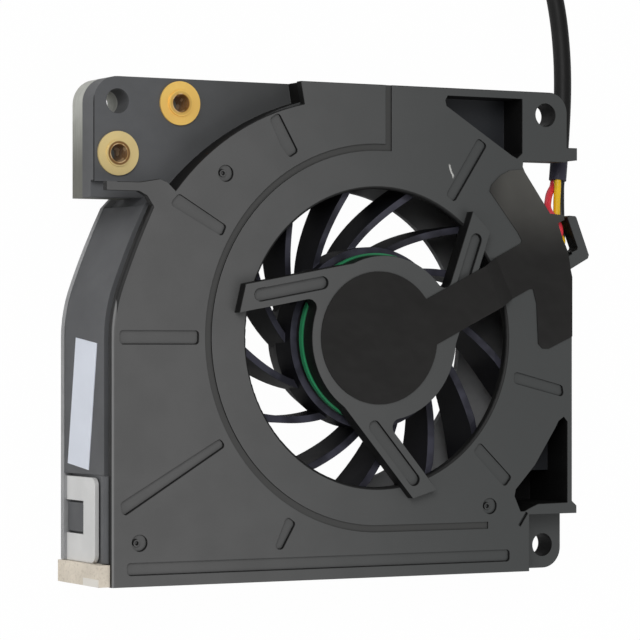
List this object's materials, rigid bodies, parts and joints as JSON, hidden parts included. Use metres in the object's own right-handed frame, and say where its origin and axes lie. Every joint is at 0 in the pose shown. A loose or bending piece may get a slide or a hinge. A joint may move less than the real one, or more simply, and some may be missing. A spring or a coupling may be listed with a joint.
{
  "type": "laptop blower fan",
  "caption": "Flat laptop blower fan with a dark plastic scroll casing, spoked round inlet, taped hub, brass threaded inserts, side outlet and a wired lead.",
  "frame": {"origin": "rotor axis where it meets the rear rest plane, at the centre of the rear inlet", "axes": "+Z out of the spoked motor side along the rotor axis, +X away from the threaded inserts toward the lead, +Y away from the outlet"},
  "size_m": [0.0806, 0.1145, 0.0167],
  "materials": {
    "casing_plastic": "fine matte texture, dark grey",
    "bare_aluminium": "fine lengthwise striations, dull",
    "cover_sheet": "light grey metal sheet, satin",
    "insert_brass": "turned brass",
    "black_tape": "smooth black film tape, low sheen",
    "cream_foam": "open cell foam strip",
    "label_paper": "bare white label",
    "board_green": "green solder mask",
    "chip_black": "black moulding",
    "bearing_bronze": "sintered bronze",
    "core_steel": "plain steel",
    "connector_plastic": "off white nylon",
    "coil_copper": "enamelled copper winding",
    "impeller_plastic": "black moulding, slight sheen",
    "magnet_black": "rubber bonded magnet",
    "wire_red": "wire insulation",
    "wire_yellow": "wire insulation",
    "wire_black": "wire insulation",
    "sleeve_black": "black sleeve over the wires",
    "contact_metal": "tinned contacts"
  },
  "bodies": {
    "housing": {"front_casing": "casing_plastic", "scroll_casing": "casing_plastic", "corner_spacer": "bare_aluminium", "rear_cover": "cover_sheet", "insert_upper": "insert_brass", "insert_lower": "insert_brass", "hub_tape": "black_tape", "outlet_foam": "cream_foam", "foam_backing": "label_paper", "side_label": "label_paper", "motor_board": "board_green", "hall_driver": "chip_black", "bearing_tube": "insert_brass", "bearing_sleeve": "bearing_bronze", "thrust_pad": "chip_black", "stator_core": "core_steel", "insulator_front": "connector_plastic", "insulator_rear": "connector_plastic", "stator_coils": "coil_copper", "wire_red": "wire_red", "wire_yellow": "wire_yellow", "wire_black": "wire_black", "lead_sleeve": "sleeve_black", "lead_red": "wire_red", "lead_yellow": "wire_yellow", "lead_black": "wire_black", "connector_housing": "connector_plastic", "connector_contacts": "contact_metal"},
    "rotor": {"impeller": "impeller_plastic", "rotor_yoke": "core_steel", "magnet_ring": "magnet_black", "rotor_shaft": "core_steel"}
  },
  "joints": [
    {"name": "impeller_spin", "type": "hinge", "parent": "housing", "child": "rotor", "pos_m": [0, 0, 0.009], "axis": [0, 0, 1], "continuous": true}
  ]
}
